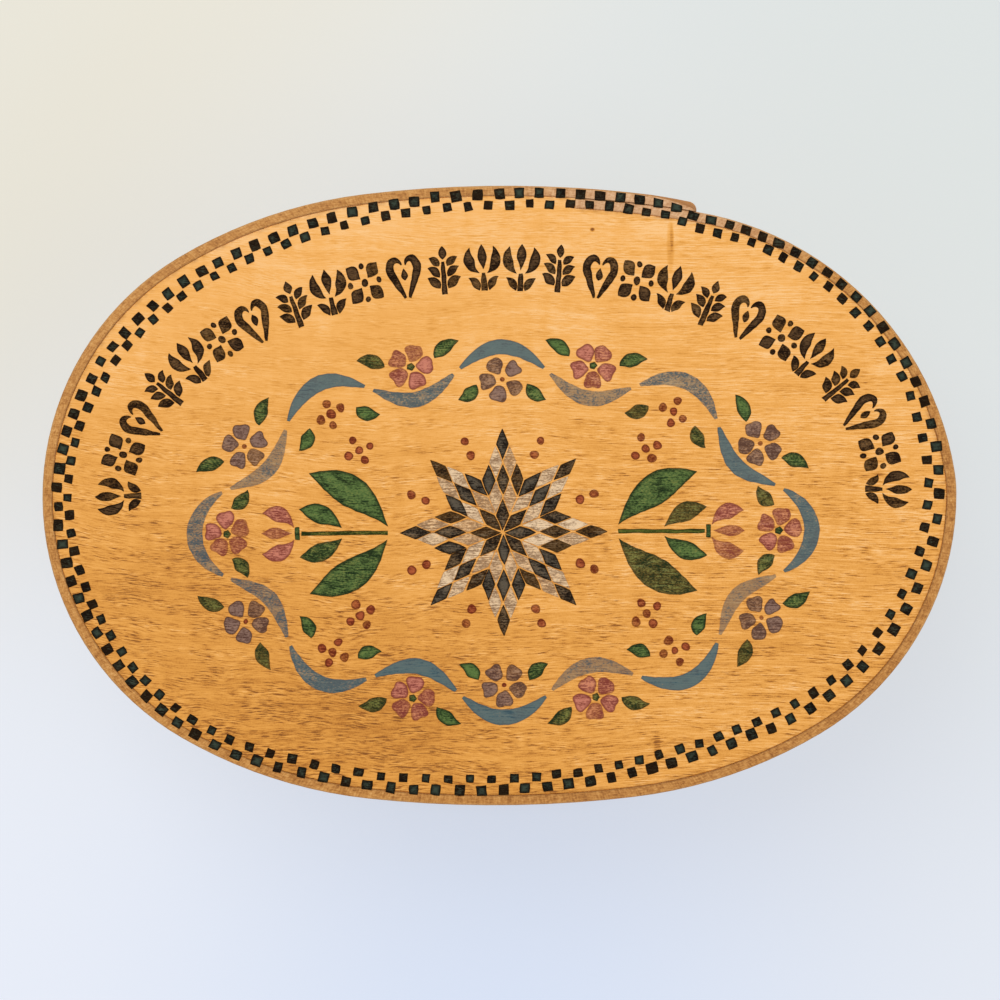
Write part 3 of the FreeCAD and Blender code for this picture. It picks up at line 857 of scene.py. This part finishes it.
def lay_wreath(ribbon, leaves, florets, petals, berries):
    """Ribbon in waves about an oval, cut where it crosses it, with a filling and two leaves in each bay."""
    bearing = np.linspace(0, 2 * math.pi, 2400)
    oval = np.stack([WREATH_REACH[0] * np.sin(bearing), WREATH_REACH[1] * np.cos(bearing)], 1)
    bays = 2 * WAVES
    way = np.linspace(-RIBBON_SPAN, RIBBON_SPAN, 25)
    for bay in range(bays):
        share = (bay + way) / bays
        points, direction = evenly(oval, share % 1.0)
        outward = np.stack([-direction[:, 1], direction[:, 0]], 1)
        sign = 1 if bay % 2 == 0 else -1
        swing = sign * WAVE_HEIGHT * np.cos(math.pi * way)
        path = STAR_CENTRE + points + outward * swing[:, None]
        half = POINT + RIBBON / 2 * np.cos(math.pi * way) ** 0.8
        ribbon.lay(stroke(path, half))
        middle, ahead = evenly(oval, np.array([bay / bays]))
        out = np.array([-ahead[0, 1], ahead[0, 0]])
        heading = math.degrees(math.atan2(ahead[0, 1], ahead[0, 0]))
        centre = STAR_CENTRE + middle[0] - out * sign * BAY_DEPTH
        # the fillings repeat in each half of the wreath, mirrored about its middle
        turn_back = min(bay % WAVES, WAVES - bay % WAVES)
        if turn_back in (1, 4):
            lay_rose(petals, leaves, centre, ROSE_SIZE)
        elif turn_back in (0, 3):
            lay_rosette(florets, berries, centre, ROSETTE_SIZE)
        else:
            lay_bunch(berries, centre, heading)
        # the bays that open inwards are narrower
        length, lean = (7.4, 40) if sign > 0 else (8.8, 24)
        for side in (-1, 1):
            foot = centre + ahead[0] * side * BAY_LEAF_FOOT[0] - out * sign * BAY_LEAF_FOOT[1]
            turn = heading + (0 if side > 0 else 180) - side * sign * lean
            leaves.lay(leaf(length, 4.2, -0.9 * side * sign), foot, turn)


def lay_sprays(leaves, stems, petals, berries):
    """To either side of the star: a stalk with a big and a small pair of leaves, an open tulip, berries."""
    for side in (-1, 1):
        def at(x, y):
            return STAR_CENTRE + np.array([side * x, y])

        def heading(angle):
            return angle if side > 0 else 180 - angle

        stems.lay(stem((0, 0), (STALK_LENGTH, 0), 0.0, 1.3), at(STALK_FOOT, 0), heading(0))
        paired = [(leaves, BIG_LEAF), (leaves, SMALL_LEAF), (petals, TULIP_SIDE)]
        for up in (-1, 1):
            for film, (shape, foot, turn) in paired:
                film.lay(leaf(*shape), at(foot[0], foot[1] * up), heading(turn * up), up * side)
            lay_bunch(berries, at(SPRAY_BUNCH[0], SPRAY_BUNCH[1] * up), 30)
        shape, foot, turn = TULIP_MIDDLE
        petals.lay(leaf(*shape), at(*foot), heading(turn))
        leaves.lay(check((1.5, 0), (0, 4.0)), at(TULIP_CUP, 0))


# ---------------------------------------------------------------- paints


def paint(name, rim, body, cover, wear, rim_width, spread):
    """Thin paint on the board: darker along its edge, finely mottled inside, worn through on the grain.

    It takes the board's own grain and its painted light, so the wood shows through in the right place.
    Cover is how much it hides, wear how much of that is lost in worn places, and spread how far one patch
    differs from the next.
    """
    g = new_graph(name)
    tone, grain = board_grain(g)
    wood = g.ramp(tone, HONEY)
    depth = g.node("Attribute", {"attribute_name": "depth"}, {}, "Fac")
    shade = g.node("Attribute", {"attribute_name": "shade"}, {}, "Fac")
    x, y, z = g.place()
    patches = g.noise(x / 4.2, y / 3.2, z / 2 + 31, 2.0, 0.6) - 0.5
    specks = g.noise(x / 0.8, y / 0.42, z + 17, 2.0, 0.7) - 0.5
    share = 0.5 + patches * 1.8 + specks * 2.2 + grain * 2.2 + (shade - 0.5) * (spread * 2)
    colour = g.mix(depth.rise(0.02, rim_width) * share.rise(0.0, 1.0), rim, body)
    thin = specks * 0.9 + patches * 0.6 + (0.5 - shade) * spread
    worn = thin.rise(-0.05, 0.25) * wear
    hiding = cover * (1.0 - worn) * depth.rise(-0.1, 0.1 + (1.0 - cover) * 0.8)
    colour = g.mix(hiding, wood, colour)
    return g.finish(colour, 0.55 + worn * 0.1, specks * 0.6 + grain, 0.015, {"Specular IOR Level": 0.03})


PAINTS = {
    # name: coat, rim, body, cover, wear, width of the rim, difference from patch to patch
    "border": (0, linear(21, 12, 6), linear(60, 70, 58), 1.0, 0.015, 1.45, 0.5),
    "ornaments": (0, linear(28, 14, 5), linear(90, 65, 41), 1.0, 0.1, 1.0, 0.25),
    "ribbon": (0, linear(48, 82, 94), linear(68, 104, 110), 0.92, 0.38, 0.6, 0.5),
    "star_dark": (0, linear(12, 10, 10), linear(88, 80, 68), 0.99, 0.1, 1.2, 0.35),
    "star_pale": (0, linear(142, 112, 86), linear(239, 210, 173), 0.92, 0.35, 0.3, 0.25),
    "stems": (1, linear(14, 38, 12), linear(84, 96, 38), 0.98, 0.15, 0.6, 0.25),
    "leaves": (2, linear(4, 40, 22), linear(88, 116, 62), 0.98, 0.13, 1.2, 0.3),
    "florets": (3, linear(80, 54, 48), linear(136, 108, 98), 0.96, 0.18, 0.7, 0.3),
    "petals": (3, linear(122, 50, 50), linear(200, 122, 106), 0.93, 0.3, 1.0, 0.3),
    "berries": (4, linear(98, 28, 18), linear(170, 82, 50), 0.96, 0.2, 0.8, 0.3),
}


def lay_paint():
    """Every colour of paint, as a piece of its own."""
    films = {name: Film("paint_" + name, values[0]) for name, values in PAINTS.items()}
    lay_border(films["border"])
    lay_arc(films["ornaments"])
    lay_star(films["star_dark"], films["star_pale"], films["berries"])
    lay_sprays(films["leaves"], films["stems"], films["petals"], films["berries"])
    lay_wreath(films["ribbon"], films["leaves"], films["florets"], films["petals"], films["berries"])
    for name, film in films.items():
        film.make(paint("paint " + name, *PAINTS[name][1:]))


# ---------------------------------------------------------------- finishes of the frame's own pieces


def dress_frame():
    """A finish for every slot of every node of the frame."""
    finishes = {
        "lid_board": board_wood("lid board wood"),
        "lid_band": band_wood("band wood", "lid_band"),
        "box_band": band_wood("box band wood", "box_band"),
        "bottom_board": pine_wood("bottom board wood"),
        "lid_pegs": peg_wood("lid peg wood"),
        "box_pegs": peg_wood("box peg wood"),
        "lid_tacks": dull_copper("lid tack copper"),
        "box_tacks": dull_copper("box tack copper"),
    }
    for node, finish in finishes.items():
        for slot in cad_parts[node].material_slots:
            slot.material = finish


# ---------------------------------------------------------------- floor, light and camera

CAMERA_PLACE = (0.15, -1.35)
CAMERA_ROLL = -0.38        # degrees
CAMERA_LENS = 70.0
SENSOR = 36.0
VIEW_WIDTH = 300.0         # how much of the lid's level the picture takes in
ROOM = linear(236, 238, 238)
DAYLIGHT = linear(229, 232, 233)
DAYLIGHT_STRENGTH = 0.68
FLOOR_REACH = 6.0          # metres
FLOOR_BACK_RIGHT = linear(223, 227, 225)
FLOOR_FRONT_LEFT = linear(235, 239, 251)
FLOOR_FRONT_RIGHT = linear(230, 234, 244)
# painted shadow of the box: darker and bluer on the floor straight in front of it
FLOOR_FRONT_SHADOW = linear(219, 229, 250)
FLOOR_FAR_LEFT = linear(235, 229, 213)
# name, place and width in metres, power in watts
LAMPS = [("key", (-0.5, 0.7, 1.5), 1.1, 10.5), ("fill", (0.9, -0.4, 1.3), 1.1, 5.6)]


def seen_directly(g):
    """1 for what the camera sees, in a mirror or through glass as well, 0 for the light on other things."""
    camera, glossy, glass = (
        g.node("LightPath", {}, {}, "Is " + ray + " Ray") for ray in ("Camera", "Glossy", "Transmission")
    )
    return camera.at_least(glossy).at_least(glass)


def floor_finish():
    """Pale floor: warm at the far left, cool and with a painted shadow at the front, and far away the colour
    of the room.

    Part of what is seen glows evenly: least at the foot of the box, where its shadow stays, all far away.
    """
    g = new_graph("pale floor")
    x, y, _ = g.place()
    reach = (x * x + y * y).math("SQRT")
    near = reach.rise(520.0, 240.0)
    foot = ((x / LID_HIGH[0]) ** 2.0 + (y / LID_HIGH[1]) ** 2.0).rise(1.5, 0.95)
    share = 0.66 - foot * 0.3 + reach.rise(450.0, 1300.0) * 0.34
    right = x.rise(-170.0, 150.0) * near
    front = y.rise(110.0, -190.0) * near
    back = g.mix(right, ROOM, FLOOR_BACK_RIGHT)
    fore = g.mix(right, FLOOR_FRONT_LEFT, FLOOR_FRONT_RIGHT)
    # a painted shadow, darker and bluer straight in front of the box
    fore = g.mix(x.size().rise(190.0, 0.0), fore, FLOOR_FRONT_SHADOW)
    tint = g.mix(front, back, fore)
    tint = g.mix((y - x).rise(95.0, 300.0) * near, tint, FLOOR_FAR_LEFT)
    matt = {"Roughness": 1.0, "Specular IOR Level": 0.0}
    lit = g.node("BsdfPrincipled", {}, {"Base Color": g.mix(0.4, tint, linear(240, 250, 255)), **matt})
    even = {"Base Color": linear(0, 0, 0), "Emission Color": tint, "Emission Strength": 1.0}
    glow = g.node("BsdfPrincipled", {}, {**even, **matt})
    shader = g.node("MixShader", {}, {0: seen_directly(g) * share, 1: lit, 2: glow})
    g.node("OutputMaterial", {}, {"Surface": shader})
    return g.owner


def make_floor():
    """Flat floor under the box, far wider than the picture."""
    corners =[(FLOOR_REACH * x, FLOOR_REACH * y, 0) for x, y in ((-1, -1), (1, -1), (1, 1), (-1, 1))]
    mesh = bpy.data.meshes.new("floor")
    mesh.from_pydata(corners, [], [(0, 1, 2, 3)])
    mesh.materials.append(floor_finish())
    floor = bpy.data.objects.new("floor", mesh)
    bpy.context.scene.collection.objects.link(floor)


def lamp(name, place, size, power):
    """Square soft box that faces the middle of the box."""
    light = bpy.data.lights.new(name, "AREA")
    light.size = size
    light.energy = power
    holder = bpy.data.objects.new(name, light)
    bpy.context.scene.collection.objects.link(holder)
    holder.location = place
    facing = Vector((0, 0, 0.05)) - holder.location
    holder.rotation_euler = facing.to_track_quat("-Z", "Y").to_euler()


def light_room():
    """Even daylight from all sides and two lamps; what is seen behind the floor is the room's colour."""
    world = bpy.data.worlds.new("room")
    bpy.context.scene.world = world
    g = Graph(world)
    light = g.node("Background", {}, {"Color": DAYLIGHT, "Strength": DAYLIGHT_STRENGTH})
    backdrop = g.node("Background", {}, {"Color": ROOM, "Strength": 1.0})
    shader = g.node("MixShader", {}, {0: seen_directly(g), 1: light, 2: backdrop})
    g.node("OutputWorld", {}, {"Surface": shader})
    for name, place, size, power in LAMPS:
        lamp(name, place, size, power)


def set_camera():
    """Looks straight down on the lid, a little askew."""
    scene = bpy.context.scene
    camera = bpy.data.cameras.new("camera")
    camera.lens = CAMERA_LENS
    camera.sensor_width = SENSOR
    holder = bpy.data.objects.new("camera", camera)
    scene.collection.objects.link(holder)
    height = LID_TOP + VIEW_WIDTH * CAMERA_LENS / SENSOR
    holder.location = (CAMERA_PLACE[0] * MM, CAMERA_PLACE[1] * MM, height * MM)
    holder.rotation_euler = (0.0, 0.0, math.radians(CAMERA_ROLL))
    scene.camera = holder
    scene.view_settings.view_transform = "Standard"


dress_frame()
lay_paint()
make_floor()
light_room()
set_camera()
